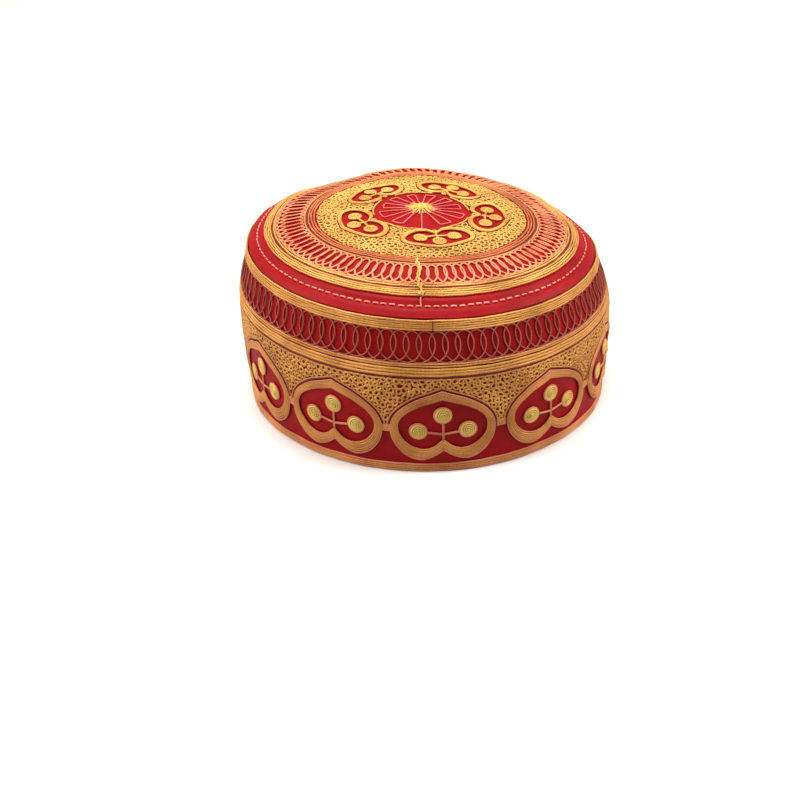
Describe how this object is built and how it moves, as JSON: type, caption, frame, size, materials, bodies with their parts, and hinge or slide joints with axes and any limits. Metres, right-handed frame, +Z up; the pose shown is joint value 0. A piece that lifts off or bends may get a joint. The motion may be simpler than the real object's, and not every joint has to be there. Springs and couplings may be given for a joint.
{
  "type": "embroidered prayer cap",
  "caption": "Round soft prayer cap of crimson satin with a domed crown and raised gold embroidery: bands, looped rings, heart cartouches with trefoils and a radial flower.",
  "frame": {"origin": "on the floor under the rim, at the middle of the cap", "axes": "+Z up, out of the crown; -Y is the front that the picture shows; +X is to the right seen from the front"},
  "size_m": [0.1894, 0.1889, 0.0928],
  "materials": {
    "red_satin": "crimson satin cloth with a soft sheen, topstitched at the crown's margin",
    "gold_thread": "metallic gold embroidery thread, laid in close rows",
    "copper_thread": "copper to salmon metallic thread in fine lines and loops"
  },
  "bodies": {
    "root": {"side_band": "red_satin", "crown": "red_satin", "rim_binding": "copper_thread", "upper_gold_band": "gold_thread", "middle_gold_band": "gold_thread", "side_gold_field": "gold_thread", "crown_outer_ring": "gold_thread", "crown_inner_ring": "copper_thread", "crown_gold_field": "gold_thread", "crown_boss": "gold_thread", "side_heart_01": "gold_thread", "side_heart_02": "gold_thread", "side_heart_03": "gold_thread", "side_heart_04": "gold_thread", "side_heart_05": "gold_thread", "side_heart_06": "gold_thread", "side_heart_07": "gold_thread", "side_heart_08": "gold_thread", "side_heart_09": "gold_thread", "side_heart_10": "gold_thread", "side_heart_11": "gold_thread", "crown_heart_1": "gold_thread", "crown_heart_2": "gold_thread", "crown_heart_3": "gold_thread", "crown_heart_4": "gold_thread", "crown_heart_5": "gold_thread"}
  },
  "joints": []
}
